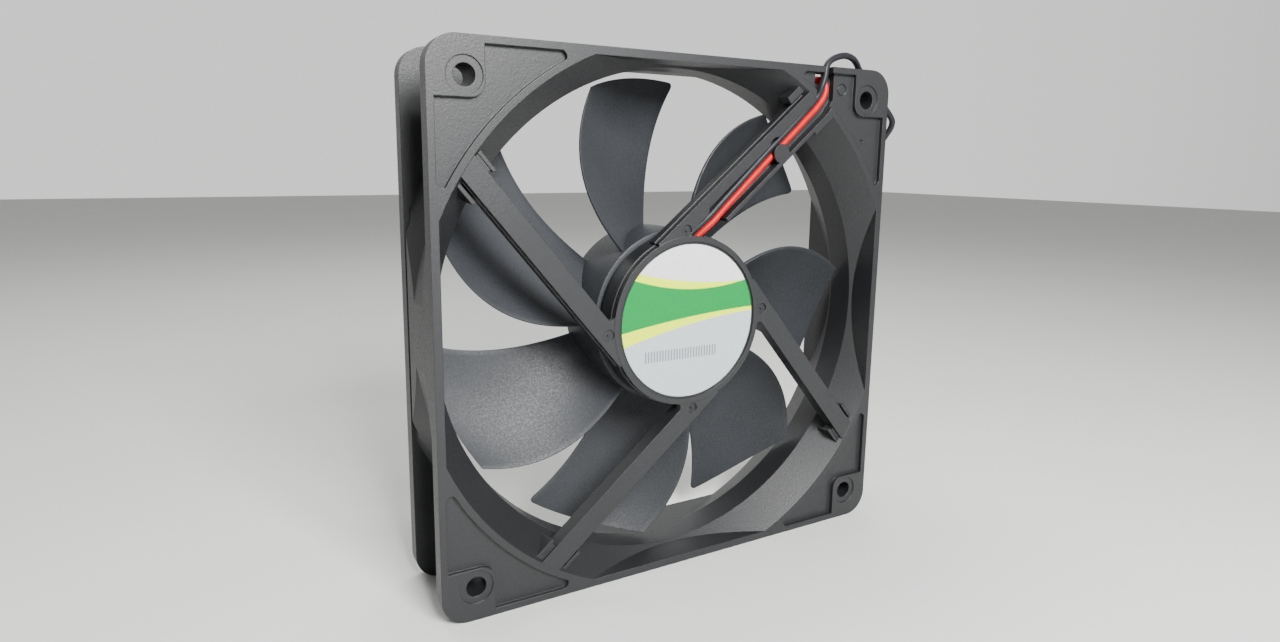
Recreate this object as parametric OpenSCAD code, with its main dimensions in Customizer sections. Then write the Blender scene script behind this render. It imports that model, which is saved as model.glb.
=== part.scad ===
// A square axial case fan with a brushless motor, standing on its lower edge.
// Label face towards -Y, air intake towards +Y, fan axis along Y.
// Most modules are drawn about the fan axis, with local z towards the label face.

/* [Frame] */
// Width and height of the square frame
side = 120; // [118:1:150]
// Depth of the frame from face to face
depth = 25; // [24:0.5:38]
// Distance between neighbouring mounting holes
hole_pitch = 105; // [100:0.5:108]
// Diameter of the mounting holes
hole_d = 4.4; // [3:0.1:5.5]
// Diameter of the smooth ring sunk round each mounting hole
hole_ring_d = 7.4; // [6:0.1:8.6]
// Radius of the four outer corners
corner_r = 6; // [2:0.5:9]
// Thickness of the front and rear flanges
flange_t = 3.8; // [2.5:0.1:5]
// Width of the raised rim round the flange pockets
rim_w = 1.5; // [1:0.1:2.5]
// Depth of the flange pockets
pocket_depth = 1; // [0.4:0.1:2]
// Size of the full-height pad round each mounting hole
pad_size = 11.6; // [10:0.1:14]
// Diameter of the tube behind each mounting hole
boss_d = 10; // [8:0.5:12]
// Length of the tube behind each mounting hole
boss_len = 4.5; // [1:0.5:6]

/* [Duct] */
// Diameter of the throat that the blades turn in
throat_d = 115.4; // [110:0.2:116]
// Diameter of the flare at the label face
flare_front_d = 126.6; // [118:0.2:130]
// Diameter of the flare at the intake face
flare_rear_d = 127.6; // [118:0.2:130]
// Depth of the flare at the label face
flare_front_len = 7.5; // [3:0.5:9]
// Depth of the flare at the intake face
flare_rear_len = 10.5; // [3:0.5:11]
// Wall of the duct
duct_wall = 2.7; // [1.5:0.1:4]
// Thinnest wall left where the duct meets the sides
side_wall = 1.8; // [1:0.1:3]

/* [Struts] */
// Direction of the strut that carries the leads
strut_angle = 39.9; // [0:0.1:90]
// Width of a strut
strut_w = 4.8; // [3:0.1:7]
// Depth of the struts
strut_depth = 3.8; // [3.8:0.1:6]
// Width of the wide rail of the strut that carries the leads
wide_rail_w = 2.7; // [2:0.1:4]
// Width of the channel for the leads
channel_w = 5; // [3.6:0.1:6]
// Depth of the channel for the leads
channel_depth = 2.6; // [2:0.1:3]
// Width of the thin rail beside the channel
thin_rail_w = 1; // [0.8:0.1:2]

/* [Motor base] */
// Outside diameter of the motor base
base_d = 39.8; // [36:0.2:42]
// Height of the motor base
base_h = 6.3; // [5:0.1:9]
// Wall of the motor base
base_wall = 1.4; // [1:0.1:2]
// Thickness of the motor base's floor
base_floor_t = 1.4; // [1:0.1:2]
// Diameter of the label
label_d = 36; // [30:0.2:37]
// Thickness of the label
label_t = 0.2; // [0.1:0.05:0.3]
// Depth that the label's seat is sunk
label_sink = 0.4; // [0.3:0.05:0.8]
// Gap between the label and its rim
label_gap = 0.6; // [0.2:0.1:1]

/* [Impeller] */
// Number of blades
blades = 7; // [5:1:11]
// Outside diameter of the impeller's hub
hub_d = 42; // [40:0.2:50]
// Wall of the impeller's hub
hub_wall = 1.7; // [1.2:0.1:2.4]
// Thickness of the impeller's closed end
hub_end_t = 1.6; // [1.2:0.1:2.4]
// Running gap between the blade tips and the throat
tip_gap = 1.2; // [0.5:0.1:3]
// Running gap between the hub and the motor base
hub_gap = 1.2; // [0.8:0.1:3]
// Distance of the hub's closed end from the intake face
hub_inset = 1.3; // [0.5:0.1:4]
// Thickness of a blade
blade_t = 1.5; // [1:0.1:2.5]
// Curve of a blade as a share of its chord
blade_camber = 0.08; // [0.02:0.01:0.12]

/* [Rotor] */
// Wall of the steel yoke
yoke_wall = 1; // [0.6:0.1:1.6]
// Radial thickness of the magnet ring
magnet_t = 2.1; // [1:0.1:2.6]
// Gap between the magnet and the stator
air_gap = 0.7; // [0.3:0.1:1.2]
// Diameter of the shaft
shaft_d = 3; // [2:0.1:4]
// Outside diameter of the brass bushing in the impeller
bushing_d = 6; // [5:0.1:7]

/* [Bearing] */
// Outside diameter of the sleeve bearing
bearing_d = 8; // [7:0.1:9]
// Wall of the tube that holds the bearing
tube_wall = 0.9; // [0.6:0.1:1.6]
// Radial running clearance of the shaft in the bearing
bearing_clear = 0.03; // [0.01:0.01:0.08]
// Length of the sleeve bearing
bearing_len = 11.4; // [8:0.1:12]

/* [Stator] */
// Height of the stack of laminations
stack_h = 6; // [4:0.1:7]
// Width of a pole's neck
neck_w = 4; // [2.5:0.1:5]
// Thickness of the insulator plates
insulator_t = 0.8; // [0.5:0.1:1.2]
// Build-up of wire on a pole
coil_t = 1.6; // [0.8:0.1:1.8]
// Thickness of the circuit board
board_t = 1; // [0.6:0.1:1.6]
// Room for parts between the board and the base's floor
board_room = 2; // [1.8:0.1:3]

/* [Leads] */
// Diameter of each lead
wire_d = 1.6; // [1:0.05:1.7]
// Diameter of the coil at the middle of its turns
lead_coil_d = 16.5; // [15:0.5:18]

/* [Hidden] */
$fn = 96;

axis_z = side / 2;
front = depth / 2;
rear = -depth / 2;
eps = 0.01;
cut = 1;

// Duct and flanges
throat_r = throat_d / 2;
flare_front_r = flare_front_d / 2;
flare_rear_r = flare_rear_d / 2;
throat_front = front - flare_front_len;
throat_rear = rear + flare_rear_len;
flat_half = side / 2 - side_wall;
rim_in = side / 2 - rim_w;
ring_rim_r = flare_front_r + rim_w;
pad_in = side / 2 - pad_size;
pad_round = 3;
pocket_end = 31.2;
pocket_round = 1.3;
hole_ring_depth = 0.3;
flange_back = front - flange_t;
flange_front = rear + flange_t;
groove_w = 1.4;
groove_depth = 1.2;
mark_d = 2.6;
mark_depth = 0.5;
mark_pin_d = 0.6;

// Struts, in a frame turned so that s runs along the strut and n across it
strut_out = base_d / 2 - 0.15;
strut_in = strut_out - strut_w;
strut_margin = 0.2;
strut_step = 0.3;
strut_front_h = 1.6;
strut_sink = 0.1;
strut_front = front - strut_sink;
hub_fillet = 1;
rail_n = strut_out - wide_rail_w;
thin_n = rail_n - channel_w;
rail_start_s = 22.5;
ledge_s = 55.6;
rail_nick = 1;
mark_at = [12.6, 17.1];
foot_w = 0.8;
foot_len = 4.5;
gusset_w = 0.8;
wide_gusset_w = 1.8;
gusset_len = 5;
gusset_gap = 0.9;
gusset_sink = 0.8;
gusset_h = 5;
tab_s = 44.5;
tab_r = 2.3;
tab_t = 1;
core_hole_r = 2.4;
core_hole_in = 1.7;
ejector_at = [44.6, 54.7];
ejector_r = 1.5;
dent_at = [52.2, 42.2];

// Motor base, from the label face towards the intake
base_r = base_d / 2;
seat_r = label_d / 2 + label_gap;
floor_front = front - label_sink;
floor_back = floor_front - base_floor_t;
base_back = front - base_h;
cup_r = base_r - base_wall;
board_front = floor_back - board_room;
board_back = board_front - board_t;

// Impeller and rotor
hub_r = hub_d / 2;
hub_front = base_back - hub_gap;
hub_rear = rear + hub_inset;
hub_in_r = hub_r - hub_wall;
hub_floor = hub_rear + hub_end_t;
tip_r = throat_r - tip_gap;
yoke_in_r = hub_in_r - yoke_wall;
yoke_end_t = 0.8;
yoke_front = hub_front - 0.6;
yoke_floor = hub_floor + yoke_end_t;
magnet_front = yoke_front - 0.6;
magnet_rear = yoke_floor + 1.2;
magnet_in_r = yoke_in_r - magnet_t;
shaft_r = shaft_d / 2;
bushing_r = bushing_d / 2;
bushing_sink = 0.8;
hub_boss_r = bushing_r + 1.4;

// Bearing, from the rear end of its tube to the front
bearing_r = bearing_d / 2;
tube_r = bearing_r + tube_wall;
bushing_front = hub_floor + 2.4;
tube_back = bushing_front + 0.4;
bearing_back = tube_back + 1.8;
bearing_front = bearing_back + bearing_len;
washer_t = 0.4;
washer_clear = 0.15;
clip_back = bearing_front + washer_t + washer_clear;
clip_t = 0.4;
clip_groove_r = shaft_r - 0.35;
shaft_front = clip_back + clip_t + 0.8;
plug_t = 1.2;
board_hole_r = tube_r + 0.3;

// Stator, centred on the magnet
stator_r = magnet_in_r - air_gap;
stack_mid = (magnet_front + magnet_rear) / 2;
stack_front = stack_mid + stack_h / 2;
stack_rear = stack_mid - stack_h / 2;
poles = 4;
core_ring_r = tube_r + 2.7;
shoe_t = 1.9;
shoe_half_angle = 38;
insulator_wall_t = 0.8;
insulator_wall_h = 2.6;
insulator_head_w = 11;
coil_in = core_ring_r + 0.3;
coil_out = stator_r - shoe_t - insulator_wall_t - 0.1;
liner = 0.6;
pin_d = 0.7;
pin_ring_r = core_ring_r - 1.2;

// Board parts
chip = [5, 4, 1.5];
hall = [4, 1.5, 3];
hall_ring_r = magnet_in_r + 0.2;
capacitor = [3.2, 1.6, 1.4];
resistor = [1.6, 0.8, 0.5];

// Leads in the object's own frame: X right, Y away from the label face, Z up
wire_r = wire_d / 2;
wire_z = front - channel_depth + wire_r + 0.05;
lead_sides = 8;
slot_angle = 85;
slot_w = 5.1;
slot_margin = 0.3;
lead_hole = [35.9, 55.9, 39.8, 58.4];
notch_x = [38, 40.6];
notch_depth = 2.4;
corner_wall_x = [35.6, 41.8];
corner_wall_y = [49.5, 52];
coil_at = [side / 2 + 17.5, 20.5];
tie_t = 0.5;
coil_h = 3.6 * wire_d;
coil_half_w = 1.25 * wire_d;
connector = [5.4, 12.8, 4.6];
connector_at = [side / 2 + 3.3, 8];
cavity_w = 1.8;
cavity_z = 2.3;
terminal = [1.2, 10.2, 1];
terminal_sink = 2;
terminal_pitch = 2.5;

// Inside the frame: distance along the lead strut, distance across it, height
red_strut_route = [
    [11.4, 12.6, 9.6], [14, 12.8, 9.7], [17, 13, 10.2], [20, 13.1, wire_z],
    [24, 13.3, wire_z], [28.5, 13.5, wire_z], [33, 13.7, wire_z], [38, 13.9, wire_z],
    [44, 14.1, wire_z], [50, 14.2, wire_z], [56, 14.4, wire_z], [61, 14.6, wire_z],
];
red_corner_route = [
    [39.4, 52.8, 10.6], [40.2, 54.8, 10.4], [40, 56.2, 9.9], [39.2, 57, 9], [38.8, 57.3, 7.4],
];
black_strut_route = [
    [11.6, 14.6, 9.6], [14, 14.6, 9.7], [17, 14.7, 10.2], [20, 14.8, wire_z],
    [24, 15, wire_z], [28.5, 15.2, wire_z], [33, 15.4, wire_z], [38, 15.6, wire_z],
    [44, 15.8, wire_z], [50, 15.9, wire_z], [56, 16.1, wire_z], [60.5, 16.3, wire_z],
];
black_corner_route = [
    [37.3, 53.2, 11], [37.9, 55.2, 11.5], [38.6, 57.4, 11.6], [39.2, 60, 11.4],
];
// Outside the frame: X, Y and Z
red_free_route = [
    [38.8, -7.4, 117.3], [39, -5.8, 117.1], [40.4, -4, 116.9], [43.2, -2.8, 116.9],
    [47, -2.2, 117.2], [51, -2, 117.8], [55, -2.2, 117.6], [58.6, -2.8, 115.8],
    [61.4, -3.2, 113], [63.2, -3.2, 109.4], [64, -2.6, 104.6], [64.2, -1.6, 98],
    [63.8, -0.4, 89], [63.2, 0.8, 78], [62.8, 1.8, 66], [62.6, 2.8, 53],
    [62.6, 3.8, 40], [62.9, 5, 28], [63.8, 7, 17], [65.6, 9.6, 10],
    [68.6, 11.8, 6.6], [72, 13, 5.6], [75.5, 13.2, 5.5],
];
black_free_route = [
    [39.2, -11.4, 120], [40.4, -11.2, 121.4], [43, -10.9, 122.6], [46.2, -10.5, 123.2],
    [49.2, -9.9, 122.8], [51.8, -8.8, 121.8], [54, -7.7, 120.5], [56.6, -7.3, 119],
    [59.4, -7.1, 116.8], [62, -7, 114.2], [64.4, -7, 111.8], [66.6, -7, 109.8],
    [68.2, -6.8, 108], [68.6, -6, 106.2], [68.2, -4.8, 104.2], [67.4, -3.4, 101.6],
    [66.4, -1.8, 97], [65.6, -0.4, 90], [65, 0.8, 79], [64.6, 1.8, 66],
    [64.4, 2.6, 53], [64.4, 3.4, 40], [64.8, 4.4, 28], [65.8, 6, 18],
    [67.6, 7.8, 11], [70.2, 9.8, 7.2], [72.8, 11.2, 5.8], [75.5, 11.7, 5.5],
];
red_tail_route = [
    [74.3, 27.2, 1.3], [70.6, 25.6, 1.2], [67.4, 24.6, 1.2], [65.4, 23.4, 1.7],
    [64.55, 21.6, 2.3], [64.55, 20.2, 2.3],
];
black_tail_route = [
    [73.6, 28.6, 1.3], [70, 27.6, 1.2], [66.6, 26.6, 1.2], [63.8, 25.4, 1.3],
    [62.3, 23.4, 1.9], [62.05, 21.6, 2.3], [62.05, 20.2, 2.3],
];

plastic = [0.13, 0.135, 0.145];

// ---- helpers ----

// Stand something drawn about the fan axis upright, label face towards -Y
module upright() {
    translate([0, 0, axis_z]) rotate([90, 0, 0]) children();
}

// Plate or disc between two heights on the fan axis
module slab(z0, z1) {
    translate([0, 0, z0]) linear_extrude(z1 - z0) children();
}

module ring(r_out, r_in, z0, z1) {
    difference() {
        translate([0, 0, z0]) cylinder(h = z1 - z0, r = r_out);
        translate([0, 0, z0 - cut]) cylinder(h = z1 - z0 + 2 * cut, r = r_in);
    }
}

module rounded_square(size, r) {
    square([size, size - 2 * r], center = true);
    square([size - 2 * r, size], center = true);
    for (x = [-1, 1], y = [-1, 1]) translate([x, y] * (size / 2 - r)) circle(r);
}

module four_holes() {
    for (x = [-1, 1], y = [-1, 1]) translate([x, y] * hole_pitch / 2) children();
}

// Place something drawn along +x on the centre of a strut
module on_strut(quarter) {
    rotate(strut_angle + 90 * quarter) children();
}

function unit(v) = v / norm(v);
function along(p, i) = unit(p[min(i + 1, len(p) - 1)] - p[max(i - 1, 0)]);
function flatten(list) = [for (a = list) for (b = a) b];

// Side directions of a tube, turned as little as possible from ring to ring
function first_side(t) = unit(cross(t, abs(t[2]) < 0.9 ? [0, 0, 1] : [1, 0, 0]));
function sides(p, i = 0, before = [0, 0, 0]) =
    let (t = along(p, i), u = i == 0 ? first_side(t) : unit(before - (before * t) * t))
    i == len(p) - 1 ? [u] : concat([u], sides(p, i + 1, u));

// A round tube through a list of points, one ring at each
module tube(points, d) {
    n = len(points);
    side = sides(points);
    rings = flatten([for (i = [0 : n - 1]) [for (k = [0 : lead_sides - 1])
        let (a = 360 * k / lead_sides)
        points[i] + d / 2 * (cos(a) * side[i] + sin(a) * cross(along(points, i), side[i]))]]);
    skin = [for (i = [0 : n - 2], k = [0 : lead_sides - 1])
        let (m = (k + 1) % lead_sides, a = i * lead_sides, b = a + lead_sides)
        each [[a + k, b + m, a + m], [a + k, b + k, b + m]]];
    start = [[for (k = [0 : lead_sides - 1]) k]];
    end = [[for (k = [lead_sides - 1 : -1 : 0]) (n - 1) * lead_sides + k]];
    polyhedron(rings, concat(start, skin, end), convexity = 6);
}

// ---- frame ----

// Profile of the space inside the duct, turned about the axis
module bore_profile() {
    polygon([
        [0, rear - cut],
        [flare_rear_r + cut * (flare_rear_r - throat_r) / flare_rear_len, rear - cut],
        [throat_r, throat_rear], [throat_r, throat_front],
        [flare_front_r + cut * (flare_front_r - throat_r) / flare_front_len, front + cut],
        [0, front + cut],
    ]);
}

module duct_profile() {
    polygon([
        [0, rear], [flare_rear_r + duct_wall, rear],
        [throat_r + duct_wall, throat_rear], [throat_r + duct_wall, throat_front],
        [flare_front_r + duct_wall, front], [0, front],
    ]);
}

module duct_bore() {
    intersection() {
        rotate_extrude($fn = 180) bore_profile();
        slab(rear - 2 * cut, front + 2 * cut) square(2 * flat_half, center = true);
    }
}

module flange(z0, z1) {
    slab(z0, z1) rounded_square(side, corner_r);
}

// Grooves between the duct's flat sides and the rear flange
module side_grooves() {
    for (q = [0 : 3]) rotate(90 * q)
        translate([side / 2 - groove_depth, -side, flange_front])
            cube([groove_depth + cut, 2 * side, groove_w]);
}

module pad_outline() {
    difference() {
        translate([pad_in, pad_in]) square(pad_size + cut);
        difference() {
            translate([pad_in - eps, pad_in - eps]) square(pad_round + eps);
            translate([pad_in, pad_in] + [1, 1] * pad_round) circle(pad_round);
        }
    }
}

// Shallow pocket round one corner pad
module pocket_outline() {
    difference() {
        translate([pocket_end, pocket_end]) square(rim_in - pocket_end);
        circle(ring_rim_r, $fn = 180);
        pad_outline();
        pocket_corner();
        mirror([1, -1]) pocket_corner();
    }
}

// Rounding of a pocket's narrow end
module pocket_corner() {
    translate([pocket_end - eps, rim_in - pocket_round]) difference() {
        square(pocket_round + 2 * eps);
        translate([pocket_round, 0]) circle(pocket_round);
    }
}

// Strip along a strut, from the motor base out into the duct
module strut_strip(n0, n1, s0 = 5) {
    end_s = sqrt(pow(ring_rim_r - strut_margin, 2) - pow(n1, 2));
    translate([s0, n0]) square([end_s - s0, n1 - n0]);
}

// Fillet where a strut's inner edge meets the motor base
module strut_fillet() {
    centre_s = sqrt(pow(base_r + hub_fillet, 2) - pow(strut_in - hub_fillet, 2));
    centre = [centre_s, strut_in - hub_fillet];
    to_base = 180 + atan2(centre[1], centre[0]);
    polygon(concat(
        [[centre_s, strut_in + 0.3]],
        [for (i = [0 : 8]) let (a = 84 + (to_base - 84) * i / 8)
            centre + hub_fillet * [cos(a), sin(a)]],
        [(base_r - 0.5) / norm(centre) * centre, [centre_s - 3, strut_in + 0.3]]));
}

module strut() {
    slab(strut_front - strut_front_h - eps, strut_front) {
        strut_strip(strut_in, strut_out);
        strut_fillet();
    }
    slab(front - strut_depth, strut_front - strut_front_h)
        strut_strip(strut_in, strut_out + strut_step);
    slab(front - strut_depth, front - gusset_sink) difference() {
        strut_strip(strut_in - foot_w, strut_in + eps);
        circle(flare_front_r - foot_len);
    }
}

// Distance along a strut at which the flare is met, at height z and offset n
function wall_s(z, n) = sqrt(pow(throat_r + (flare_front_r - throat_r)
    * (z - throat_front) / flare_front_len, 2) - n * n);

// Triangular rib on the duct wall beside a strut
module gusset(n, w) {
    z0 = front - gusset_sink;
    z1 = z0 - gusset_h;
    translate([0, n + w, 0]) rotate([90, 0, 0]) linear_extrude(w) polygon([
        [wall_s(z0, n) - gusset_len, z0], [wall_s(z0, n) + 0.6, z0],
        [wall_s(z1, n) + 0.6, z1], [wall_s(z1, n) - 0.2, z1],
    ]);
}

function from_strut(p) = [
    p[0] * cos(strut_angle) - p[1] * sin(strut_angle),
    p[0] * sin(strut_angle) + p[1] * cos(strut_angle),
    p[2],
];

function on_plan(s, n) = [for (i = [0 : 1]) from_strut([s, n, 0])[i]];

// Channel for the leads: along the strut, then up the corner to the rim
module channel_outline() {
    polygon([
        on_plan(13, thin_n), on_plan(13, rail_n - rail_nick), on_plan(19.5, rail_n - rail_nick),
        on_plan(20.5, rail_n), on_plan(60.6, rail_n),
        [corner_wall_x[0], rim_in], [corner_wall_x[1], rim_in],
        [corner_wall_x[1], corner_wall_y[1]],
        on_plan(61.6, thin_n),
    ]);
}

// Tab over the channel that keeps the leads in
module wire_tab() {
    slab(front - tab_t, strut_front) intersection() {
        translate([tab_s, thin_n + 1.3]) circle(tab_r);
        translate([tab_s - 4, thin_n - thin_rail_w]) square([8, 5]);
    }
}

module base_solid() {
    translate([0, 0, base_back]) cylinder(h = base_h, r = base_r);
    translate([0, 0, base_back]) cylinder(h = base_h - strut_front_h, r = base_r + strut_step);
}

// Room for the board behind the base's floor, and seat for the label in front of it
module base_hollows() {
    translate([0, 0, base_back - cut]) cylinder(h = floor_back - base_back + cut, r = cup_r);
    translate([0, 0, floor_front]) cylinder(h = label_sink + cut, r = seat_r);
}

// Way out of the motor base for the two leads
module lead_slot() {
    rotate(slot_angle) translate([cup_r - 2 * slot_margin, -slot_w / 2, board_front + slot_margin])
        cube([base_wall + strut_step + 4 * slot_margin, slot_w,
              floor_back - board_front + 2 * slot_margin]);
}

// Ejector ring and a small dent in the floor of the corner pocket
module small_marks() {
    floor_z = front - pocket_depth;
    translate([ejector_at[0], ejector_at[1], 0])
        ring(ejector_r, ejector_r - 0.3, floor_z - 0.25, floor_z + cut);
    translate([dent_at[0], dent_at[1], floor_z - 0.3]) cylinder(h = cut, r = 0.5);
}

// Hole through the flange for one lead and notch in the rim for the other
module corner_cuts() {
    slab(flange_back - cut, front + cut) translate([lead_hole[0], lead_hole[1]])
        square([lead_hole[2] - lead_hole[0], lead_hole[3] - lead_hole[1]]);
    slab(front - notch_depth, front + cut) translate([notch_x[0], rim_in - cut])
        square([notch_x[1] - notch_x[0], rim_w + 2 * cut]);
}

// Flanges, duct and screw tubes, before the pockets and the struts
module duct_body() {
    difference() {
        union() {
            flange(flange_back, front);
            flange(rear, flange_front);
            intersection() {
                rotate_extrude($fn = 180) duct_profile();
                slab(rear, front) square(side, center = true);
            }
            four_holes() translate([0, 0, flange_back - boss_len])
                cylinder(h = boss_len + cut, d = boss_d);
        }
        duct_bore();
        side_grooves();
        for (q = [0 : 3]) rotate(90 * q)
            slab(front - pocket_depth, front + cut) pocket_outline();
    }
}

module all_struts() {
    for (q = [0 : 3]) on_strut(q) {
        strut();
        gusset(strut_out + gusset_gap, q == 0 ? wide_gusset_w : gusset_w);
    }
    for (q = [1 : 3]) on_strut(q) gusset(strut_in - gusset_gap - gusset_w, gusset_w);
    on_strut(0) slab(front - strut_depth, strut_front) {
        strut_strip(thin_n - thin_rail_w, strut_in + eps, rail_start_s);
        strut_strip(thin_n - thin_rail_w - foot_w, thin_n, ledge_s);
    }
}

// Channel for the leads, with the hole of the core that forms its tab
module lead_channel() {
    difference() {
        union() {
            slab(front - channel_depth, front + cut) difference() {
                channel_outline();
                circle(base_r);
            }
            on_strut(0) translate([tab_s, rail_n - core_hole_in, flange_back - cut])
                cylinder(h = flange_t + 2 * cut, r = core_hole_r);
        }
        on_strut(0) wire_tab();
    }
}

module fan_frame() {
    color(plastic) upright() difference() {
        union() {
            difference() {
                union() {
                    duct_body();
                    all_struts();
                    base_solid();
                }
                base_hollows();
            }
            ring(tube_r, bearing_r - eps, tube_back, floor_back + base_floor_t / 2);
        }
        four_holes() {
            translate([0, 0, rear - cut]) cylinder(h = depth + 2 * cut, d = hole_d);
            translate([0, 0, front - hole_ring_depth]) cylinder(h = cut, d = hole_ring_d);
        }
        lead_channel();
        small_marks();
        corner_cuts();
        lead_slot();
        translate([0, 0, tube_back - cut]) cylinder(h = depth, r = bearing_r);
        for (q = [0 : 3]) on_strut(q) translate([mark_at[0], mark_at[1], 0])
            ring(mark_d / 2, mark_pin_d / 2, front - mark_depth, front + cut);
    }
}

module label() {
    color("white") upright()
        translate([0, 0, floor_front]) cylinder(h = label_t, d = label_d);
}

module end_plug() {
    color("dimgray") upright()
        translate([0, 0, floor_front - plug_t]) cylinder(h = plug_t, r = bearing_r);
}

// ---- impeller ----

// Angle and height of the trailing edge (label side) and leading edge (intake side),
// at share t of the span from hub to tip
function trail_angle(t) = 129.8 + 1.9 * t - 20.8 * t * t;
function lead_angle(t) = 91.1 - 2.3 * t - 7.4 * t * t;
function trail_z(t) = hub_front - 1.1 - 2.1 * t - 0.7 * t * t;
function lead_z(t) = hub_rear + 1.8 - 1.7 * t + 0.9 * t * t;

// Half the blade's thickness at share u of the chord, full in the middle
function half_thick(u, t) = (blade_t / 2) * (1 - 0.25 * t) * (0.55 + 0.45 * (1 - pow(2 * u - 1, 4)));

// Point of the blade's skin: t along the span, u from trailing to leading edge
function skin_point(t, u, face) =
    let (r = (hub_r - 0.6) + t * (tip_r - hub_r + 0.6),
         a0 = trail_angle(t) * PI / 180 * r,
         a1 = lead_angle(t) * PI / 180 * r,
         z0 = trail_z(t),
         z1 = lead_z(t),
         chord = norm([a1 - a0, z1 - z0]),
         nx = -(z1 - z0) / chord,
         nz = (a1 - a0) / chord,
         lift = blade_camber * chord * 4 * u * (1 - u) + face * half_thick(u, t),
         arc = a0 + (a1 - a0) * u + nx * lift,
         z = z0 + (z1 - z0) * u + nz * lift,
         angle = arc / r * 180 / PI)
    [r * cos(angle), r * sin(angle), z];

span_steps = 8;
chord_steps = 10;

module blade() {
    loop = 2 * (chord_steps + 1);
    points = flatten([for (i = [0 : span_steps]) concat(
        [for (j = [0 : chord_steps]) skin_point(i / span_steps, j / chord_steps, 1)],
        [for (j = [chord_steps : -1 : 0]) skin_point(i / span_steps, j / chord_steps, -1)])]);
    skin = [for (i = [0 : span_steps - 1], k = [0 : loop - 1])
        let (m = (k + 1) % loop, a = i * loop, b = a + loop)
        each [[a + k, a + m, b + m], [a + k, b + m, b + k]]];
    caps = [for (j = [0 : chord_steps - 1])
        let (m = loop - 1 - j, last = span_steps * loop)
        each [[j, m, m - 1], [j, m - 1, j + 1],
              [last + j, last + j + 1, last + m - 1], [last + j, last + m - 1, last + m]]];
    polyhedron(points, concat(skin, caps), convexity = 8);
}

module impeller() {
    color(plastic) upright() difference() {
        union() {
            ring(hub_r, hub_in_r, hub_rear + 0.5, hub_front);
            translate([0, 0, hub_rear]) cylinder(h = hub_end_t, r = hub_r - 0.5);
            translate([0, 0, hub_rear + 0.5]) cylinder(h = hub_end_t - 0.5, r = hub_r);
            translate([0, 0, hub_floor - eps])
                cylinder(h = bushing_front - 0.5 - hub_floor, r = hub_boss_r);
            for (k = [0 : blades - 1]) rotate(360 / blades * k) blade();
        }
        translate([0, 0, hub_rear + bushing_sink])
            cylinder(h = depth, r = bushing_r);
        translate([0, 0, hub_floor]) ring(hub_in_r, hub_boss_r, 0, depth);
    }
}

module rotor_yoke() {
    color("silver") upright() {
        ring(hub_in_r, yoke_in_r, hub_floor, yoke_front);
        ring(hub_in_r, hub_boss_r + 0.6, hub_floor, yoke_floor);
    }
}

module rotor_magnet() {
    color([0.2, 0.17, 0.16]) upright()
        ring(yoke_in_r, magnet_in_r, magnet_rear, magnet_front);
}

module shaft() {
    color("lightgray") upright() difference() {
        translate([0, 0, hub_rear + bushing_sink])
            cylinder(h = shaft_front - hub_rear - bushing_sink, r = shaft_r);
        ring(shaft_r + cut, clip_groove_r, clip_back - 0.05, clip_back + clip_t + 0.05);
    }
}

module shaft_bushing() {
    color("goldenrod") upright()
        ring(bushing_r, shaft_r, hub_rear + bushing_sink, bushing_front);
}

// ---- bearing ----

module sleeve_bearing() {
    color([0.55, 0.42, 0.28]) upright()
        ring(bearing_r, shaft_r + bearing_clear, bearing_back, bearing_front);
}

module oil_ring() {
    color([0.08, 0.08, 0.08]) upright()
        ring(bearing_r - 0.6, shaft_r, bushing_front, bearing_back - 0.4);
}

module thrust_washer() {
    color("ivory") upright()
        ring(bearing_r - 0.4, shaft_r + 0.2, bearing_front, bearing_front + washer_t);
}

// Split washer snapped into the shaft's groove
module retaining_clip() {
    color("gainsboro") upright() difference() {
        ring(shaft_r + 1.2, clip_groove_r, clip_back, clip_back + clip_t);
        translate([0, -0.4, clip_back - cut]) cube([shaft_r + 3, 0.8, clip_t + 2 * cut]);
    }
}

// ---- stator ----

module shoe_outline(r_out, r_in, half_angle) {
    intersection() {
        difference() {
            circle(r_out);
            circle(r_in);
        }
        polygon([[0, 0], 2 * r_out * [cos(half_angle), -sin(half_angle)],
                 2 * r_out * [cos(half_angle), sin(half_angle)]]);
    }
}

module pole_outline(neck, r_out, r_in, ring_r, half_angle) {
    difference() {
        union() {
            circle(ring_r);
            for (q = [0 : poles - 1]) rotate(45 + 360 / poles * q) {
                translate([0, -neck / 2]) square([r_out - 0.5, neck]);
                shoe_outline(r_out, r_in, half_angle);
            }
        }
        circle(tube_r);
    }
}

module stator_core() {
    color("slategray") upright() slab(stack_rear, stack_front)
        pole_outline(neck_w, stator_r, stator_r - shoe_t, core_ring_r, shoe_half_angle);
}

// Flat head of one insulator arm, outside its coil
module insulator_head() {
    translate([coil_out + 0.1, -insulator_head_w / 2]) square([insulator_wall_t, insulator_head_w]);
}

// Plate, outer winding walls and inner collar; up is 1 or -1
module insulator(z_plate, up, collar_h) {
    z_end = z_plate + up * insulator_t;
    z_wall = z_end + up * insulator_wall_h;
    z_collar = z_plate + up * collar_h;
    slab(min(z_plate, z_end), max(z_plate, z_end)) difference() {
        union() {
            circle(core_ring_r);
            for (q = [0 : poles - 1]) rotate(45 + 360 / poles * q) {
                translate([0, -neck_w / 2 - liner]) square([coil_out + 0.5, neck_w + 2 * liner]);
                insulator_head();
            }
        }
        circle(tube_r);
    }
    for (q = [0 : poles - 1]) rotate(45 + 360 / poles * q)
        slab(min(z_end, z_wall) - eps, max(z_end, z_wall) + eps) insulator_head();
    ring(core_ring_r - 0.4, tube_r, min(z_plate, z_collar), max(z_plate, z_collar));
}

module front_insulator() {
    color("ivory") upright() difference() {
        insulator(stack_front, 1, board_back - stack_front);
        winding_pin_places() cylinder(h = depth, d = pin_d);
    }
}

module rear_insulator() {
    color("ivory") upright() insulator(stack_rear, -1, insulator_wall_h);
}

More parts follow.
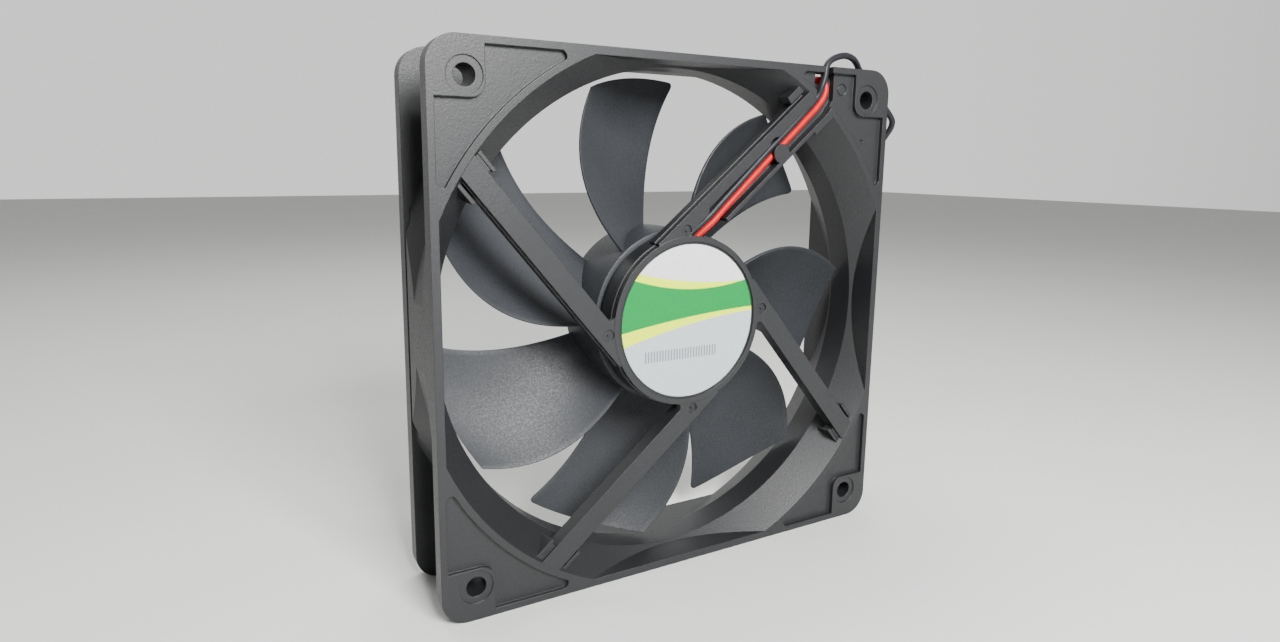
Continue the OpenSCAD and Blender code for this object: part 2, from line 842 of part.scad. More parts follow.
module rounded_box_outline(w, h, r) {
    square([w, h - 2 * r], center = true);
    square([w - 2 * r, h], center = true);
    for (x = [-1, 1], y = [-1, 1]) translate([x * (w / 2 - r), y * (h / 2 - r)]) circle(r);
}

module coil_windings() {
    hole_w = neck_w + 2 * liner;
    hole_h = stack_h + 2 * insulator_t;
    color("peru") upright() for (q = [0 : poles - 1]) rotate(45 + 360 / poles * q)
        translate([coil_in, 0, stack_mid]) rotate([90, 0, 90])
            linear_extrude(coil_out - coil_in) difference() {
                rounded_box_outline(hole_w + 2 * coil_t, hole_h + 2 * coil_t, 1.2);
                square([hole_w, hole_h], center = true);
            }
}

module winding_pin_places() {
    for (q = [0 : 2]) rotate(90 * q) translate([pin_ring_r, 0, board_back - 3]) children();
}

module winding_pins() {
    color("gold") upright()
        winding_pin_places() cylinder(h = board_t + 3.6, d = pin_d);
}

module circuit_board() {
    color("darkgreen") upright() difference() {
        slab(board_back, board_front) circle(cup_r - 0.4);
        slab(board_back - cut, board_front + cut) circle(board_hole_r);
        winding_pin_places() cylinder(h = depth, d = pin_d);
    }
}

module on_board(r, angle) {
    rotate(angle) translate([r, 0, board_front]) children();
}

module driver_chip() {
    color([0.1, 0.1, 0.1]) upright() on_board(11.6, 200)
        translate([-chip[0] / 2, -chip[1] / 2, 0]) cube(chip);
}

module hall_sensor() {
    color([0.12, 0.12, 0.12]) upright() rotate(135)
        translate([hall_ring_r - hall[1] / 2, -hall[0] / 2, board_back - hall[2]])
            cube([hall[1], hall[0], hall[2]]);
}

module board_capacitor() {
    color("burlywood") upright() on_board(12, 250)
        translate([-capacitor[1] / 2, -capacitor[0] / 2, 0])
            cube([capacitor[1], capacitor[0], capacitor[2]]);
}

module board_resistors() {
    color([0.15, 0.15, 0.15]) upright() for (a = [285, 305, 325]) on_board(11.5, a)
        translate([-resistor[0] / 2, -resistor[1] / 2, 0]) cube(resistor);
}

module solder_joints() {
    color("silver") upright() for (x = [-1, 1])
        translate([0.4 + x * 1.5, 11.9, board_front])
            cylinder(h = 0.9, r1 = 1, r2 = 0.6, $fn = 24);
}

// ---- leads ----

function upright_route(p) = [for (q = p) [q[0], -q[2], q[1] + axis_z]];
function inner_route(strut, corner) =
    upright_route(concat([for (q = strut) from_strut(q)], corner));

module red_wire_inner() {
    color("red") tube(inner_route(red_strut_route, red_corner_route), wire_d);
}

module black_wire_inner() {
    color([0.07, 0.07, 0.07]) tube(inner_route(black_strut_route, black_corner_route), wire_d);
}

module red_lead() {
    color("red") {
        tube(red_free_route, wire_d);
        tube(red_tail_route, wire_d);
    }
}

module black_lead() {
    color([0.07, 0.07, 0.07]) {
        tube(black_free_route, wire_d);
        tube(black_tail_route, wire_d);
    }
}

// Outer shape of the coil that the two leads are wound into
module lead_coil() {
    color([0.3, 0.07, 0.07]) translate([coil_at[0], coil_at[1], tie_t])
        rotate_extrude() translate([lead_coil_d / 2 - coil_half_w, 0])
            square([2 * coil_half_w, coil_h]);
}

module coil_tie() {
    width = 2.5;
    color([0.1, 0.1, 0.1]) translate([coil_at[0] + lead_coil_d / 2, coil_at[1], 0]) {
        difference() {
            translate([-coil_half_w - tie_t - 0.2, -width / 2, 0])
                cube([2 * coil_half_w + 2 * tie_t + 0.3, width, coil_h + 2 * tie_t]);
            translate([-coil_half_w - 0.2, -width, tie_t])
                cube([2 * coil_half_w + 0.3, 2 * width, coil_h]);
        }
    }
}

module at_cavities() {
    for (k = [-1, 1]) translate([connector_at[0] + k * terminal_pitch / 2, connector_at[1], cavity_z])
        children();
}

module connector_housing() {
    color("white") difference() {
        translate([connector_at[0] - connector[0] / 2, connector_at[1], 0]) cube(connector);
        at_cavities() translate([-cavity_w / 2, -cut, -cavity_w / 2])
            cube([cavity_w, connector[1] + 2 * cut, cavity_w]);
    }
}

module connector_terminals() {
    color("gold") at_cavities() translate([-terminal[0] / 2, terminal_sink, -terminal[2] / 2])
        cube(terminal);
}

fan_frame();
impeller();
rotor_yoke();
rotor_magnet();
shaft();
shaft_bushing();
oil_ring();
sleeve_bearing();
thrust_washer();
retaining_clip();
end_plug();
stator_core();
front_insulator();
rear_insulator();
coil_windings();
winding_pins();
circuit_board();
driver_chip();
hall_sensor();
board_capacitor();
board_resistors();
solder_joints();
label();
red_wire_inner();
black_wire_inner();
red_lead();
black_lead();
lead_coil();
coil_tie();
connector_housing();
connector_terminals();
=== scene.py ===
"""Axial case fan: camera, light, leads, impeller and materials, in the part's own frame."""
from math import cos, hypot, pi, radians, sin, sqrt

import bpy
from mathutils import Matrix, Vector


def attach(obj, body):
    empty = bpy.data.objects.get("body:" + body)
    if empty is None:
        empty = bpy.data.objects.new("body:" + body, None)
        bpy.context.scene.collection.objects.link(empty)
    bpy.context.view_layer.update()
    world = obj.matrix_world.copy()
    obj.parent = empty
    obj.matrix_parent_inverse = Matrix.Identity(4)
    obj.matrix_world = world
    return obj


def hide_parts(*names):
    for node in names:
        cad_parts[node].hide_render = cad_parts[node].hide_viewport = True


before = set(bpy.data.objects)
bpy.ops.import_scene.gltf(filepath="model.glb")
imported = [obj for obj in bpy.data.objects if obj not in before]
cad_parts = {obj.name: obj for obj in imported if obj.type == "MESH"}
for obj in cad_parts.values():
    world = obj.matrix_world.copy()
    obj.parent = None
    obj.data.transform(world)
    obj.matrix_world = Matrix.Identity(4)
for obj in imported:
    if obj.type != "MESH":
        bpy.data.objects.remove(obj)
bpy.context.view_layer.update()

MM = 0.001
axis_height = 60 * MM          # the fan's axis above the standing edge

# Leads, in millimetres and degrees
wire_d = 1.6
wire_z = 10.65                 # height of the leads in the strut's channel
strut_angle = 39.9             # direction of the strut with the channel

# Coil of both leads on the floor, in millimetres and degrees
coil_centre = (77.5, 20.5)
coil_start, coil_end = -103.5, 115.7
coil_turns = 2                 # whole turns, before the rest of the way to coil_end
coil_top, coil_bottom = 5.5, 1.3
red_coil_r = 7.45
black_coil_r = red_coil_r + wire_d

# Impeller's hub, in millimetres
hub_r = 21
hub_in_r = 19.3
hub_front = 5
hub_rear = -11.2
hub_end_t = 1.6
hub_boss_r = 5.4
hub_boss_h = 1.9
hub_bore_r = 3
hub_edge_r = 0.5               # rounding of the rear edge
rim_break = 0.1                # step of the broken edges of the front rim

# Impeller's blades, in millimetres and shares
blades = 7
tip_r = 56.5
root_sink = 0.6                # how far a blade reaches into the hub
blade_t = 1.5
tip_thinning = 0.25            # share of the thickness lost at the tip
edge_thickness = 0.55          # thickness near the edges as a share of the middle's
camber = 0.08                  # rise of the section's bow as a share of its chord
edge_share = 0.012             # share of the chord that each rounded edge takes
tip_corner = 0.955             # share of the span at which the leading corner starts to round
tip_corner_share = 0.045       # share of the chord that its rounding takes

# The blade's edges as constant, slope and curve over its span from root to tip
trailing_angle = (129.8, 1.9, -20.8)
leading_angle = (91.1, -2.3, -7.4)
trailing_height = (hub_front - 1.1, -2.1, -0.7)
leading_height = (hub_rear + 1.8, -1.7, 0.9)

# The label's bands from the top: the upper limit of each as level, slope and curve in millimetres
lime_limit = (9.4, -0.115, 0.0045)
green_limit = (7.6, -0.06, 0.009)
lower_lime_limit = (1.05, 0.1, -0.002)
grey_limit = (-0.7, 0.17, -0.0035)
band_blur = 0.12               # half the width over which one band's colour turns into the next
bars_across = (-12, 8)         # millimetres right of the fan's axis
bars_up = (-8.8, -6.2)         # millimetres above it
bars_per_mm = 1.3
bars_strength = 0.8

# The backdrop's light: brightness by how far a direction points behind the fan
dim_until, bright_from = -0.3, 0.7
dimmest, brightest = 0.3, 1.1


# ---------------------------------------------------------------- places

def from_fan(x, y, z):
    """A point given right of, above and in front of the fan's centre, in the row frame."""
    return Vector((x * MM, -z * MM, y * MM + axis_height))


def from_strut(s, n, z):
    """A point given along and across the strut that carries the leads."""
    a = radians(strut_angle)
    return from_fan(s * cos(a) - n * sin(a), s * sin(a) + n * cos(a), z)


def from_row(x, y, z):
    """A point given in millimetres in the row frame."""
    return Vector((x, y, z)) * MM


# ---------------------------------------------------------------- camera

def camera():
    """The camera, at the height and the angle from which the fan is seen."""
    data = bpy.data.cameras.new("camera")
    data.lens = 21.61
    data.sensor_width = 36
    data.shift_x = 0.0113
    data.shift_y = -0.0243
    data.clip_start = 0.005
    obj = bpy.data.objects.new("camera", data)
    obj.location = (-0.0984, -0.1583, 0.0966)
    obj.rotation_euler = (radians(80.50), radians(-0.57), radians(-29.00))
    bpy.context.scene.collection.objects.link(obj)
    bpy.context.scene.camera = obj


# ---------------------------------------------------------------- leads

def through(points, before=None, after=None, steps=8):
    """Points on a smooth line through the given ones, coming from before and going on to after."""
    first = before or 2 * points[0] - points[1]
    last = after or 2 * points[-1] - points[-2]
    knots = [first, *points, last]
    line = []
    for a, b, c, d in zip(knots, knots[1:], knots[2:], knots[3:]):
        t = [0]
        for p, q in ((a, b), (b, c), (c, d)):
            t.append(t[-1] + sqrt((q - p).length))
        for k in range(steps):
            u = t[1] + (t[2] - t[1]) * k / steps
            ab = (a * (t[1] - u) + b * (u - t[0])) / (t[1] - t[0])
            bc = (b * (t[2] - u) + c * (u - t[1])) / (t[2] - t[1])
            cd = (c * (t[3] - u) + d * (u - t[2])) / (t[3] - t[2])
            abc = (ab * (t[2] - u) + bc * (u - t[0])) / (t[2] - t[0])
            bcd = (bc * (t[3] - u) + cd * (u - t[1])) / (t[3] - t[1])
            line.append((abc * (t[2] - u) + bcd * (u - t[1])) / (t[2] - t[1]))
    return line + [points[-1]]


def coil(radius, per_turn=36):
    """The turns of one lead in the coil, wound from its top down to its bottom."""
    sweep = 360 * coil_turns + (coil_end - coil_start) % 360
    count = round(sweep / 360 * per_turn)
    line = []
    for k in range(count + 1):
        a = radians(coil_start + sweep * k / count)
        line.append(from_row(coil_centre[0] + radius * cos(a), coil_centre[1] + radius * sin(a),
                             coil_top + (coil_bottom - coil_top) * k / count))
    return line


def wire(name, line, *nodes):
    """A round wire along the line, standing for the given nodes."""
    data = bpy.data.curves.new(name, "CURVE")
    data.dimensions = "3D"
    data.bevel_depth = wire_d / 2 * MM
    data.bevel_resolution = 5
    data.use_fill_caps = True
    spline = data.splines.new("POLY")
    spline.points.add(len(line) - 1)
    for point, place in zip(spline.points, line):
        point.co = (*place, 1)
    spline.use_smooth = True
    curve = bpy.data.objects.new(name + "_centreline", data)
    obj = bpy.data.objects.new(name, bpy.data.meshes.new_from_object(curve))
    bpy.data.objects.remove(curve)
    bpy.context.scene.collection.objects.link(obj)
    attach(obj, "frame")
    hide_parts(*nodes)
    return obj


def lead(colour, strut, corner, free, tail, radius):
    """One lead: the part held in the frame, and the free part with its turns in the coil."""
    held = [from_strut(*p) for p in strut] + [from_fan(*p) for p in corner]
    loose = [from_row(*p) for p in free]
    end = [from_row(*p) for p in tail]
    turns = coil(radius)
    inner = wire(colour + "_wire_in_frame", through(held, after=loose[1]), colour + "_wire_inner")
    line = (through(loose, before=held[-2], after=turns[1])[:-1] + turns
            + through(end, before=turns[-2])[1:])
    outer = wire(colour + "_free_lead", line, colour + "_lead")
    return inner, outer


def leads():
    """Both leads, each through its channel, over the corner, down behind and into the coil."""
    red = lead(
        "red",
        [(11.4, 12.6, 9.6), (14, 12.8, 9.7), (17, 13, 10.2), (20, 13.1, wire_z),
         (24, 13.3, wire_z), (28.5, 13.5, wire_z), (33, 13.7, wire_z), (38, 13.9, wire_z),
         (44, 14.1, wire_z), (50, 14.2, wire_z), (56, 14.4, wire_z), (61, 14.6, wire_z)],
        [(39.4, 52.8, 10.6), (40.2, 54.8, 10.4), (40, 56.2, 9.9), (39.2, 57, 9),
         (38.8, 57.3, 7.4)],
        [(38.8, -7.4, 117.3), (39, -5.8, 117.1), (40.4, -4, 116.9), (43.2, -2.8, 116.9),
         (47, -2.2, 117.2), (51, -2, 117.8), (55, -2.2, 117.6), (58.6, -2.8, 115.8),
         (61.4, -3.2, 113), (63.2, -3.2, 109.4), (64, -2.6, 104.6), (64.2, -1.6, 98),
         (63.8, -0.4, 89), (63.2, 0.8, 78), (62.8, 1.8, 66), (62.6, 2.8, 53),
         (62.6, 3.8, 40), (62.9, 5, 28), (63.8, 7, 17), (65.6, 9.6, 10),
         (68.6, 11.8, 6.6), (72, 13, 5.6), (75.5, 13.2, 5.5)],
        [(74.3, 27.2, 1.3), (70.6, 25.6, 1.2), (67.4, 24.6, 1.2), (65.4, 23.4, 1.7),
         (64.55, 21.6, 2.3), (64.55, 20.2, 2.3)],
        red_coil_r)
    black = lead(
        "black",
        [(11.6, 14.6, 9.6), (14, 14.6, 9.7), (17, 14.7, 10.2), (20, 14.8, wire_z),
         (24, 15, wire_z), (28.5, 15.2, wire_z), (33, 15.4, wire_z), (38, 15.6, wire_z),
         (44, 15.8, wire_z), (50, 15.9, wire_z), (56, 16.1, wire_z), (60.5, 16.3, wire_z)],
        [(37.3, 53.2, 11), (37.9, 55.2, 11.5), (38.6, 57.4, 11.6), (39.2, 60, 11.4)],
        [(39.2, -11.4, 120), (40.4, -11.2, 121.4), (43, -10.9, 122.6), (46.2, -10.5, 123.2),
         (49.2, -9.9, 122.8), (51.8, -8.8, 121.8), (54, -7.7, 120.5), (56.6, -7.3, 119),
         (59.4, -7.1, 116.8), (62, -7, 114.2), (64.4, -7, 111.8), (66.6, -7, 109.8),
         (68.2, -6.8, 108), (68.6, -6, 106.2), (68.2, -4.8, 104.2), (67.4, -3.4, 101.6),
         (66.4, -1.8, 97), (65.6, -0.4, 90), (65, 0.8, 79), (64.6, 1.8, 66),
         (64.4, 2.6, 53), (64.4, 3.4, 40), (64.8, 4.4, 28), (65.8, 6, 18),
         (67.6, 7.8, 11), (70.2, 9.8, 7.2), (72.8, 11.2, 5.8), (75.5, 11.7, 5.5)],
        [(73.6, 28.6, 1.3), (70, 27.6, 1.2), (66.6, 26.6, 1.2), (63.8, 25.4, 1.3),
         (62.3, 23.4, 1.9), (62.05, 21.6, 2.3), (62.05, 20.2, 2.3)],
        black_coil_r)
    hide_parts("lead_coil")
    return red, black


# ---------------------------------------------------------------- impeller

def along(edge, t):
    """Value of an edge's curve at t along the span."""
    constant, slope, curve = edge
    return constant + slope * t + curve * t * t


def blade_point(t, u, face):
    """Point of a blade's skin: t along the span, u from the trailing to the leading edge."""
    r = (hub_r - root_sink) + t * (tip_r - hub_r + root_sink)
    a0 = radians(along(trailing_angle, t)) * r
    a1 = radians(along(leading_angle, t)) * r
    z0 = along(trailing_height, t)
    z1 = along(leading_height, t)
    chord = hypot(a1 - a0, z1 - z0)
    nx, nz = -(z1 - z0) / chord, (a1 - a0) / chord
    fullness = edge_thickness + (1 - edge_thickness) * (1 - (2 * u - 1) ** 4)
    half = blade_t / 2 * (1 - tip_thinning * t) * fullness
    lift = camber * chord * 4 * u * (1 - u) + face * half
    angle = (a0 + (a1 - a0) * u + nx * lift) / r
    return r * cos(angle), r * sin(angle), z0 + (z1 - z0) * u + nz * lift


def blade_loop(t, reach=1.0, steps=26, edge=5):
    """Closed section of a blade at t, as far as reach of its chord, with both edges rounded."""
    loop = []
    for face in (1, -1):
        shares = [edge_share + (1 - 2 * edge_share) * k / steps for k in range(steps + 1)]
        if face < 0:
            shares.reverse()
        loop += [(u, face) for u in shares]
        centre = 1 - edge_share if face > 0 else edge_share
        out = 1 if face > 0 else -1
        for k in range(1, edge):
            a = pi * k / edge
            loop.append((centre + out * edge_share * sin(a), face * cos(a)))
    return [blade_point(t, u * reach, face) for u, face in loop]


def turned(profile, steps=160):
    """Vertices and faces of a closed profile of (radius, height) turned about the axis."""
    verts = [(r * cos(2 * pi * k / steps), r * sin(2 * pi * k / steps), z)
             for k in range(steps) for r, z in profile]
    n = len(profile)
    faces = [(k * n + i, k * n + (i + 1) % n, (k + 1) % steps * n + (i + 1) % n,
              (k + 1) % steps * n + i) for k in range(steps) for i in range(n)]
    return verts, faces


def bladed_hub(edge_steps=4, plain_steps=22, corner_steps=6):
    """The impeller's moulding: hub and blades with rounded edges."""
    rim = [(hub_in_r, hub_front - 2 * rim_break), (hub_in_r + 2 * rim_break, hub_front),
           (hub_r - 3 * rim_break, hub_front), (hub_r - rim_break, hub_front - rim_break),
           (hub_r, hub_front - 3 * rim_break)]
    edge = [(hub_r - hub_edge_r * (1 - cos(a)), hub_rear + hub_edge_r * (1 - sin(a)))
            for a in (pi / 2 * k / edge_steps for k in range(edge_steps + 1))]
    floor = hub_rear + hub_end_t
    boss = [(hub_bore_r, hub_rear), (hub_bore_r, floor + hub_boss_h),
            (hub_boss_r, floor + hub_boss_h), (hub_boss_r, floor), (hub_in_r, floor)]
    verts, faces = turned(rim + edge + boss)
    plain = [k / plain_steps * tip_corner for k in range(plain_steps)]
    corner = [sin(pi / 2 * k / corner_steps) for k in range(corner_steps + 1)]
    stations = [(t, 1.0) for t in plain] + [
        (tip_corner + (1 - tip_corner) * c, 1 - tip_corner_share * (1 - sqrt(1 - c * c)))
        for c in corner]
    spans = len(stations) - 1
    for b in range(blades):
        turn = 2 * pi * b / blades
        start = len(verts)
        loops = [blade_loop(t, reach) for t, reach in stations]
        n = len(loops[0])
        for loop in loops:
            verts += [(x * cos(turn) - y * sin(turn), x * sin(turn) + y * cos(turn), z)
                      for x, y, z in loop]
        faces += [(start + k * n + i, start + k * n + (i + 1) % n,
                   start + (k + 1) * n + (i + 1) % n, start + (k + 1) * n + i)
                  for k in range(spans) for i in range(n)]
        faces.append(tuple(start + i for i in reversed(range(n))))
        faces.append(tuple(start + spans * n + i for i in range(n)))
    return verts, faces


def impeller():
    """The impeller's moulding on the turning body, in place of its coarser node."""
    verts, faces = bladed_hub()
    mesh = bpy.data.meshes.new("impeller_moulding")
    mesh.from_pydata([from_fan(*v) for v in verts], [], faces)
    mesh.validate()
    obj = bpy.data.objects.new("impeller_moulding", mesh)
    bpy.context.scene.collection.objects.link(obj)
    for polygon in mesh.polygons:
        polygon.use_smooth = True
    mesh.set_sharp_from_angle(angle=radians(35))
    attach(obj, "rotor")
    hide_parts("impeller")
    return obj


# ---------------------------------------------------------------- materials

class Nodes:
    """A material's node tree, with one short call for each kind of node used."""

    def __init__(self, name):
        self.material = bpy.data.materials.new(name)
        self.material.use_nodes = True
        self.tree = self.material.node_tree
        self.surface = self.tree.nodes["Principled BSDF"]
        self.place = self.add("ShaderNodeTexCoord").outputs["Object"]

    def add(self, kind, inputs=(), **settings):
        node = self.tree.nodes.new(kind)
        for key, value in settings.items():
            setattr(node, key, value)
        for key, value in dict(inputs).items():
            self.put(node.inputs[key], value)
        return node

    def put(self, socket, value):
        if isinstance(value, bpy.types.NodeSocket):
            self.tree.links.new(value, socket)
        else:
            socket.default_value = value

    def math(self, operation, a, b=0.0):
        return self.add("ShaderNodeMath", {0: a, 1: b}, operation=operation).outputs[0]

    def noise(self, size, detail=3.0, stretch=None):
        """Noise whose features measure size metres, wider along the axes that stretch divides."""
        place = self.place
        if stretch:
            place = self.add("ShaderNodeMapping", {"Vector": place, "Scale": stretch}).outputs[0]
        return self.add("ShaderNodeTexNoise", {"Vector": place, "Scale": 1 / size,
                                               "Detail": detail, "Roughness": 0.6}).outputs["Fac"]

    def spread(self, value, low, high, start=0.3, end=0.7):
        return self.add("ShaderNodeMapRange", {"Value": value, "From Min": start, "From Max": end,
                                               "To Min": low, "To Max": high}).outputs[0]

    def mix(self, share, a, b):
        node = self.add("ShaderNodeMix", data_type="RGBA")
        for socket, value in zip((node.inputs[0], node.inputs[6], node.inputs[7]), (share, a, b)):
            self.put(socket, value)
        return node.outputs[2]

    def set(self, **inputs):
        names = {"color": "Base Color", "roughness": "Roughness", "metallic": "Metallic",
                 "normal": "Normal", "coat": "Coat Weight", "specular": "Specular IOR Level"}
        for key, value in inputs.items():
            self.put(self.surface.inputs[names[key]], value)

    def bump(self, height, depth, rounding=0.0):
        """Normal of a surface with this height pattern, its edges rounded by rounding metres."""
        inputs = {"Height": height, "Distance": depth, "Strength": 1.0}
        if rounding:
            inputs["Normal"] = self.add("ShaderNodeBevel", {"Radius": rounding},
                                        samples=4).outputs[0]
        return self.add("ShaderNodeBump", inputs).outputs[0]


def rgb(r, g, b):
    """Linear colour of an sRGB one given from 0 to 255."""
    def linear(c):
        c /= 255
        return c / 12.92 if c <= 0.04045 else ((c + 0.055) / 1.055) ** 2.4
    return (linear(r), linear(g), linear(b), 1.0)


def shade(color, factor):
    return tuple(min(1.0, c * factor) for c in color[:3]) + (1.0,)


def moulded(name, color, roughness, grain=0.45 * MM, depth=0.04 * MM, rounding=0.25 * MM,
            vary=0.12, specular=0.5):
    """Moulded plastic: fine spark-eroded grain, slow changes of tone and worn-soft edges."""
    m = Nodes(name)
    fine = m.noise(grain, 4)
    slow = m.noise(14 * MM, 2)
    tone = m.mix(m.spread(slow, 0, 1), shade(color, 1 - vary), shade(color, 1 + vary))
    tone = m.mix(m.spread(fine, 0, 1, 0.45, 0.62), tone, shade(color, 1 + 3 * vary))
    m.set(color=tone, roughness=m.spread(fine, roughness + 0.08, roughness - 0.08),
          normal=m.bump(fine, depth, rounding), specular=specular)
    return m.material


def metal(name, color, roughness, brushed=(1, 1, 1), grain=0.3 * MM, rounding=0.1 * MM):
    """Bare metal with a fine grain, drawn out across the axes that brushed divides."""
    m = Nodes(name)
    fine = m.noise(grain, 3, brushed)
    m.set(color=m.mix(m.spread(fine, 0, 1), shade(color, 0.88), shade(color, 1.08)), metallic=1.0,
          roughness=m.spread(fine, roughness - 0.06, roughness + 0.08),
          normal=m.bump(fine, 0.004 * MM, rounding))
    return m.material


def soft_pvc(name, color):
    """Lead insulation: glossy PVC with a faint waviness and fingermarks."""
    m = Nodes(name)
    wave = m.noise(2.5 * MM, 2)
    m.set(color=m.mix(m.spread(wave, 0, 1), shade(color, 0.86), shade(color, 1.1)),
          roughness=m.spread(m.noise(0.6 * MM), 0.36, 0.48), specular=0.2,
          normal=m.bump(wave, 0.05 * MM))
    return m.material


def banded_label(name):
    """Printed silver film with yellow-green and green bands across it and a plain block of bars."""
    m = Nodes(name)
    xyz = m.add("ShaderNodeSeparateXYZ", {0: m.place}).outputs
    x = m.math("DIVIDE", xyz[0], MM)
    y = m.math("DIVIDE", m.math("SUBTRACT", xyz[2], axis_height), MM)

    def under(level, slope, curve):
        """1 below the line level + slope x + curve x squared, 0 above it."""
        line = m.math("ADD", level, m.math("MULTIPLY", x, m.math(
            "ADD", slope, m.math("MULTIPLY", x, curve))))
        return m.spread(m.math("SUBTRACT", line, y), 0, 1, -band_blur, band_blur)

    def inside(value, low, high):
        above = m.math("GREATER_THAN", value, low)
        return m.math("MULTIPLY", above, m.math("LESS_THAN", value, high))

    mottle = m.spread(m.noise(0.35 * MM, 3), 0, 1)
    silver = m.mix(mottle, rgb(180, 183, 181), rgb(204, 206, 203))
    grey = m.mix(mottle, rgb(152, 160, 164), rgb(168, 175, 179))
    lime = m.mix(mottle, rgb(196, 216, 0), rgb(206, 226, 0))
    green = m.mix(mottle, rgb(0, 116, 52), rgb(0, 126, 58))
    color = silver
    for limit, band in ((lime_limit, lime), (green_limit, green), (lower_lime_limit, lime),
                        (grey_limit, grey)):
        color = m.mix(under(*limit), color, band)
    bars = m.math("GREATER_THAN", m.math("FRACT", m.math("MULTIPLY", x, bars_per_mm)), 0.5)
    block = m.math("MULTIPLY", inside(x, *bars_across), inside(y, *bars_up))
    printed = m.math("MULTIPLY", m.math("MULTIPLY", block, bars), bars_strength)
    color = m.mix(printed, color, rgb(92, 97, 101))
    m.set(color=color, roughness=m.spread(m.noise(0.5 * MM), 0.3, 0.4), specular=0.05,
          normal=m.bump(m.noise(6 * MM, 1), 0.05 * MM))
    return m.material


def wave_scale(width):
    """Scale of a wave texture whose light and dark bands are each width metres wide."""
    return 1 / width / 20 * pi


def stacked_steel(name):
    """Stamped sheets seen edge on."""
    m = Nodes(name)
    sheets = m.add("ShaderNodeTexWave", {"Vector": m.place, "Scale": wave_scale(0.5 * MM),
                                         "Distortion": 0.6}, bands_direction="Y").outputs["Fac"]
    m.set(color=m.mix(sheets, rgb(92, 92, 94), rgb(150, 150, 150)), metallic=1.0,
          roughness=m.spread(m.noise(0.4 * MM), 0.35, 0.5), normal=m.bump(sheets, 0.05 * MM))
    return m.material


def wound_copper(name):
    """Turns of enamelled wire laid side by side round the motor's axis."""
    m = Nodes(name)
    place = m.add("ShaderNodeVectorMath", {0: m.place, 1: (0, 0, axis_height)},
                  operation="SUBTRACT").outputs[0]
    turns = m.add("ShaderNodeTexWave", {"Vector": place, "Scale": wave_scale(0.3 * MM),
                                        "Distortion": 0.8, "Detail": 1.0},
                  wave_type="RINGS", rings_direction="Y").outputs["Fac"]
    m.set(color=m.mix(turns, rgb(96, 40, 16), rgb(196, 104, 52)), metallic=0.85,
          roughness=0.32, coat=0.5, normal=m.bump(turns, 0.1 * MM))
    return m.material


def laminate(name):
    """Board with a green mask over its tracks."""
    m = Nodes(name)
    tracks = m.add("ShaderNodeTexVoronoi", {"Vector": m.place, "Scale": 1 / (2.2 * MM)},
                   feature="DISTANCE_TO_EDGE").outputs["Distance"]
    copper = m.spread(tracks, 1, 0, 0.05, 0.09)
    m.set(color=m.mix(copper, rgb(24, 74, 42), rgb(44, 108, 58)), roughness=0.35, coat=0.3,
          normal=m.bump(copper, 0.03 * MM, 0.1 * MM))
    return m.material


def room(name, color, roughness):
    """Matt paper of an almost even tone."""
    m = Nodes(name)
    m.set(color=m.mix(m.spread(m.noise(0.08), 0, 1), shade(color, 0.985), shade(color, 1.01)),
          roughness=roughness, specular=0.2)
    return m.material


def paint(obj, material):
    obj.data.materials.clear()
    obj.data.materials.append(material)


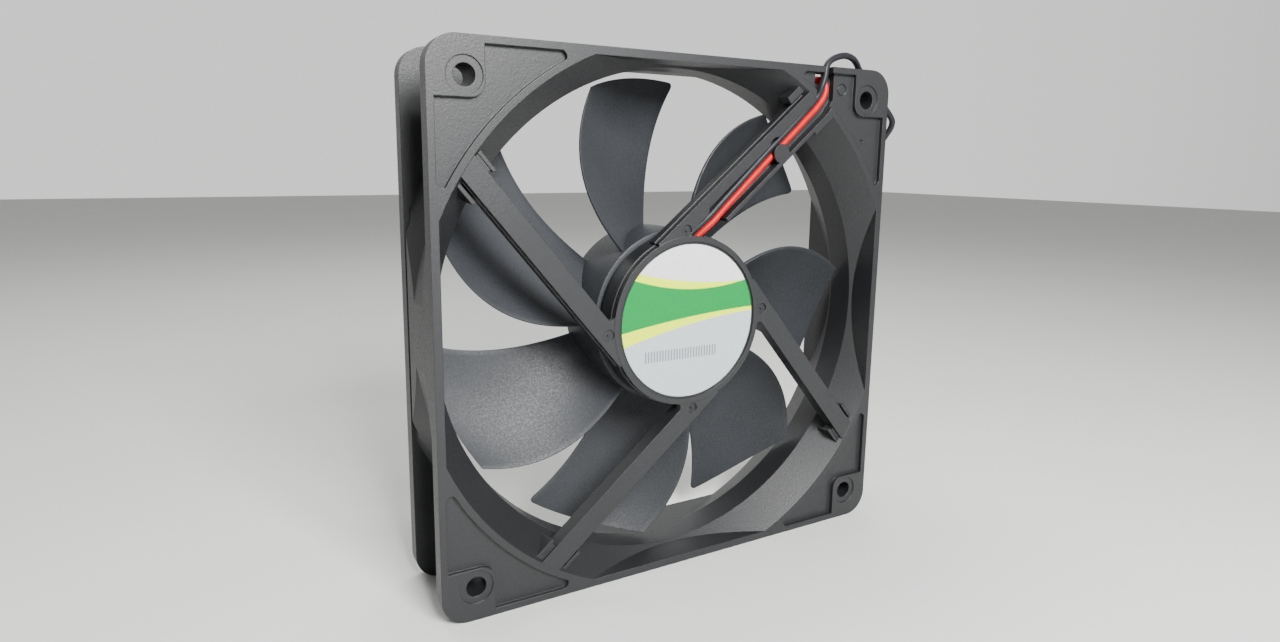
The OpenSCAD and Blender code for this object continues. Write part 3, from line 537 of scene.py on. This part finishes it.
def finishes(red, black, moulding):
    """Give every node, both leads and the impeller's moulding their materials."""
    frame_plastic = moulded("frame_plastic", rgb(18, 19, 21), 0.48, specular=0.55)
    blade_plastic = moulded("blade_plastic", rgb(36, 38, 41), 0.52, depth=0.03 * MM, rounding=0,
                            specular=0.3)
    steel = metal("turned_steel", (0.62, 0.62, 0.6), 0.25, (1, 20, 1))
    nodes = {
        "fan_frame": frame_plastic,
        "rotor_yoke": metal("yoke_steel", (0.5, 0.5, 0.5), 0.38),
        "rotor_magnet": moulded("bonded_ferrite", rgb(58, 56, 56), 0.6, vary=0.2),
        "shaft": steel,
        "shaft_bushing": metal("brass", (0.8, 0.6, 0.28), 0.3, (1, 12, 1)),
        "oil_ring": moulded("oil_ring_rubber", rgb(36, 36, 38), 0.7),
        "sleeve_bearing": metal("sintered_bronze", (0.5, 0.32, 0.17), 0.5, grain=0.15 * MM),
        "thrust_washer": moulded("white_nylon", rgb(226, 224, 214), 0.4),
        "retaining_clip": moulded("clip_nylon", rgb(232, 230, 222), 0.4),
        "end_plug": moulded("black_rubber", rgb(30, 30, 32), 0.65),
        "stator_core": stacked_steel("laminated_steel"),
        "front_insulator": moulded("insulator_nylon", rgb(222, 220, 208), 0.45),
        "rear_insulator": moulded("insulator_nylon_rear", rgb(222, 220, 208), 0.45),
        "coil_windings": wound_copper("enamelled_copper"),
        "winding_pins": metal("tinned_metal", (0.72, 0.72, 0.7), 0.28),
        "circuit_board": laminate("board_laminate"),
        "driver_chip": moulded("chip_epoxy", rgb(34, 34, 36), 0.5, grain=0.12 * MM),
        "hall_sensor": moulded("sensor_epoxy", rgb(36, 36, 38), 0.5, grain=0.12 * MM),
        "board_capacitor": moulded("capacitor_ceramic", rgb(150, 118, 84), 0.4),
        "board_resistors": moulded("resistor_epoxy", rgb(30, 30, 32), 0.45),
        "solder_joints": metal("solder", (0.7, 0.7, 0.7), 0.22),
        "label": banded_label("label_film"),
        "coil_tie": moulded("tie_nylon", rgb(38, 38, 40), 0.5),
        "connector_housing": moulded("connector_plastic", rgb(226, 222, 206), 0.4),
        "connector_terminals": metal("terminal_tin", (0.74, 0.73, 0.7), 0.3),
    }
    for name, material in nodes.items():
        paint(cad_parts[name], material)
    hidden = {"red_wire_inner": "red", "red_lead": "red", "lead_coil": "red",
              "black_wire_inner": "black", "black_lead": "black", "impeller": "blade"}
    finish = {"red": soft_pvc("red_pvc", rgb(158, 10, 10)),
              "black": soft_pvc("black_pvc", rgb(30, 30, 34)), "blade": blade_plastic}
    for name, kind in hidden.items():
        paint(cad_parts[name], finish[kind])
    for pieces, kind in ((red, "red"), (black, "black"), ((moulding,), "blade")):
        for piece in pieces:
            paint(piece, finish[kind])


# ---------------------------------------------------------------- light and floor

def lamp(name, place, target, size, watts):
    """A rectangular white lamp at place that shines at target. Lengths are in metres."""
    data = bpy.data.lights.new(name, "AREA")
    data.shape = "RECTANGLE"
    data.size, data.size_y = size
    data.energy = watts
    obj = bpy.data.objects.new(name, data)
    obj.location = place
    obj.rotation_euler = (Vector(target) - Vector(place)).to_track_quat("-Z", "Y").to_euler()
    bpy.context.scene.collection.objects.link(obj)


def backdrop():
    """A pale backdrop, brightest behind the fan and dimmer in front of it."""
    world = bpy.data.worlds.new("studio")
    bpy.context.scene.world = world
    world.use_nodes = True
    tree = world.node_tree
    place = tree.nodes.new("ShaderNodeTexCoord").outputs["Generated"]
    apart = tree.nodes.new("ShaderNodeSeparateXYZ")
    tree.links.new(place, apart.inputs[0])
    behind = tree.nodes.new("ShaderNodeMapRange")
    behind.interpolation_type = "SMOOTHSTEP"
    for name, value in (("From Min", dim_until), ("From Max", bright_from),
                        ("To Min", dimmest), ("To Max", brightest)):
        behind.inputs[name].default_value = value
    tree.links.new(apart.outputs["Y"], behind.inputs["Value"])
    back = tree.nodes["Background"]
    back.inputs["Color"].default_value = (0.93, 0.93, 0.92, 1)
    tree.links.new(behind.outputs["Result"], back.inputs["Strength"])


def studio():
    """Floor, backdrop and lamps."""
    bpy.ops.mesh.primitive_plane_add(size=4, location=(0, 0, 0))
    floor = bpy.context.object
    floor.name = "floor"
    paint(floor, room("floor_paper", rgb(196, 196, 194), 0.7))
    backdrop()
    centre = (0, 0, axis_height)
    lamp("key", (-0.02, -0.36, 0.3), (-0.03, 0, 0.08), (0.18, 0.18), 7)
    lamp("fill", (0.4, -0.35, 0.25), centre, (0.3, 0.3), 0.25)
    lamp("top", (0, 0.25, 0.6), centre, (0.5, 0.3), 3)


camera()
red_lead, black_lead = leads()
finishes(red_lead, black_lead, impeller())
studio()
